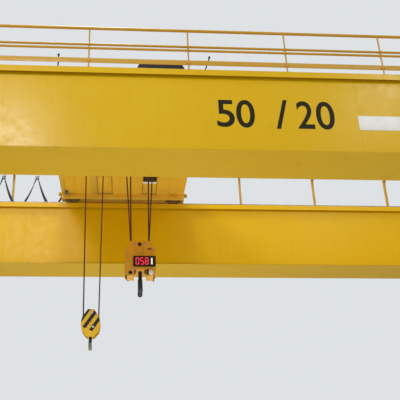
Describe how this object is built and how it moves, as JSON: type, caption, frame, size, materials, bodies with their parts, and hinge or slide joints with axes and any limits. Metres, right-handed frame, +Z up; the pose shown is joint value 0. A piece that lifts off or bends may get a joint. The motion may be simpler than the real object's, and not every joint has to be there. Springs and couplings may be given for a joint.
{
  "type": "double-girder overhead travelling crane",
  "caption": "Overhead crane with box girders, a hoist trolley, main and auxiliary hook blocks, a cable festoon and short runway beams.",
  "frame": {"origin": "middle of the left runway beam's flat underside, with the bridge at the middle of its travel", "axes": "+X along the bridge from the left runway to the right one, +Y along the runway away from the handrail side, +Z up"},
  "size_m": [22.9, 12.6, 6.427],
  "materials": {
    "girder_paint": "satin yellow enamel",
    "rail_paint": "satin yellow enamel",
    "trolley_paint": "satin orange-yellow enamel",
    "block_paint": "gloss orange-yellow enamel",
    "striped_paint": "yellow enamel with black stripes",
    "runway_paint": "satin red enamel",
    "rail_steel": "rolled steel, worn bright on the head",
    "wheel_steel": "forged steel, worn bright on the tread",
    "machine_grey": "grey machine enamel",
    "drum_steel": "greased grooved steel",
    "sheave_steel": "dark cast steel",
    "buffer_rubber": "black rubber",
    "black_enamel": "black enamel",
    "hook_steel": "forged steel, painted black",
    "wire_rope": "greased stranded wire rope",
    "track_steel": "galvanised steel",
    "cable_sheath": "black cable sheath"
  },
  "bodies": {
    "runway": {"left_runway_beam": "runway_paint", "right_runway_beam": "runway_paint", "runway_rails": "rail_steel", "runway_stops": "runway_paint"},
    "bridge": {"front_girder_top_flange": "girder_paint", "front_girder_bottom_flange": "girder_paint", "front_girder_webs": "girder_paint", "rear_girder_top_flange": "girder_paint", "rear_girder_bottom_flange": "girder_paint", "rear_girder_webs": "girder_paint", "left_end_carriage": "girder_paint", "right_end_carriage": "girder_paint", "bridge_wheels": "wheel_steel", "bridge_drives": "machine_grey", "bridge_buffers": "buffer_rubber", "trolley_rails": "rail_steel", "trolley_stops": "girder_paint", "front_handrail": "rail_paint", "festoon_posts": "rail_paint", "festoon_track": "track_steel", "festoon_cable": "cable_sheath"},
    "trolley": {"trolley_side_beams": "trolley_paint", "trolley_cross_beams": "trolley_paint", "trolley_deck": "trolley_paint", "trolley_wheels": "wheel_steel", "trolley_drives": "machine_grey", "trolley_buffers": "buffer_rubber", "main_drum": "drum_steel", "main_hoist_drive": "machine_grey", "main_upper_sheaves": "sheave_steel", "aux_drum": "drum_steel", "aux_hoist_drive": "machine_grey", "aux_upper_sheaves": "sheave_steel", "trolley_cabinet": "black_enamel", "festoon_tow_arm": "trolley_paint", "main_ropes": "wire_rope", "aux_ropes": "wire_rope"},
    "main_block": {"main_block_housing": "block_paint", "main_block_sheaves": "sheave_steel", "load_display": "black_enamel"},
    "main_hook": {"main_hook": "hook_steel"},
    "aux_block": {"aux_block_housing": "striped_paint", "aux_block_sheaves": "sheave_steel"},
    "aux_hook": {"aux_hook": "hook_steel"},
    "festoon_carrier_1": {"festoon_carrier_1": "track_steel"},
    "festoon_carrier_2": {"festoon_carrier_2": "track_steel"},
    "festoon_carrier_3": {"festoon_carrier_3": "track_steel"},
    "festoon_carrier_4": {"festoon_carrier_4": "track_steel"},
    "festoon_carrier_5": {"festoon_carrier_5": "track_steel"},
    "festoon_carrier_6": {"festoon_carrier_6": "track_steel"},
    "festoon_carrier_7": {"festoon_carrier_7": "track_steel"}
  },
  "joints": [
    {"name": "bridge_travel", "type": "slide", "parent": "runway", "child": "bridge", "axis": [0, 1, 0], "range_m": [-1.8, 1.8]},
    {"name": "trolley_travel", "type": "slide", "parent": "bridge", "child": "trolley", "axis": [1, 0, 0], "range_m": [-7, 9], "deforming": ["festoon_cable"]},
    {"name": "main_hoist", "type": "slide", "parent": "trolley", "child": "main_block", "axis": [0, 0, 1], "range_m": [-6, 2.1], "deforming": ["main_ropes"]},
    {"name": "main_hook_swivel", "type": "hinge", "parent": "main_block", "child": "main_hook", "pos_m": [10.7, 0, -0.5], "axis": [0, 0, 1], "continuous": true},
    {"name": "aux_hoist", "type": "slide", "parent": "trolley", "child": "aux_block", "axis": [0, 0, 1], "range_m": [-4.5, 3.8], "deforming": ["aux_ropes"]},
    {"name": "aux_hook_swivel", "type": "hinge", "parent": "aux_block", "child": "aux_hook", "pos_m": [9.595, 0, -2.1], "axis": [0, 0, 1], "continuous": true},
    {"name": "festoon_carrier_1_slide", "type": "slide", "parent": "bridge", "child": "festoon_carrier_1", "axis": [1, 0, 0], "range_m": [-0.875, 1.125]},
    {"name": "festoon_carrier_2_slide", "type": "slide", "parent": "bridge", "child": "festoon_carrier_2", "axis": [1, 0, 0], "range_m": [-1.75, 2.25]},
    {"name": "festoon_carrier_3_slide", "type": "slide", "parent": "bridge", "child": "festoon_carrier_3", "axis": [1, 0, 0], "range_m": [-2.625, 3.375]},
    {"name": "festoon_carrier_4_slide", "type": "slide", "parent": "bridge", "child": "festoon_carrier_4", "axis": [1, 0, 0], "range_m": [-3.5, 4.5]},
    {"name": "festoon_carrier_5_slide", "type": "slide", "parent": "bridge", "child": "festoon_carrier_5", "axis": [1, 0, 0], "range_m": [-4.375, 5.625]},
    {"name": "festoon_carrier_6_slide", "type": "slide", "parent": "bridge", "child": "festoon_carrier_6", "axis": [1, 0, 0], "range_m": [-5.25, 6.75]},
    {"name": "festoon_carrier_7_slide", "type": "slide", "parent": "bridge", "child": "festoon_carrier_7", "axis": [1, 0, 0], "range_m": [-6.125, 7.875]}
  ],
  "couplings": [
    {"joint": "festoon_carrier_1_slide", "follows": "trolley_travel", "ratio": 0.125},
    {"joint": "festoon_carrier_2_slide", "follows": "trolley_travel", "ratio": 0.25},
    {"joint": "festoon_carrier_3_slide", "follows": "trolley_travel", "ratio": 0.375},
    {"joint": "festoon_carrier_4_slide", "follows": "trolley_travel", "ratio": 0.5},
    {"joint": "festoon_carrier_5_slide", "follows": "trolley_travel", "ratio": 0.625},
    {"joint": "festoon_carrier_6_slide", "follows": "trolley_travel", "ratio": 0.75},
    {"joint": "festoon_carrier_7_slide", "follows": "trolley_travel", "ratio": 0.875}
  ]
}
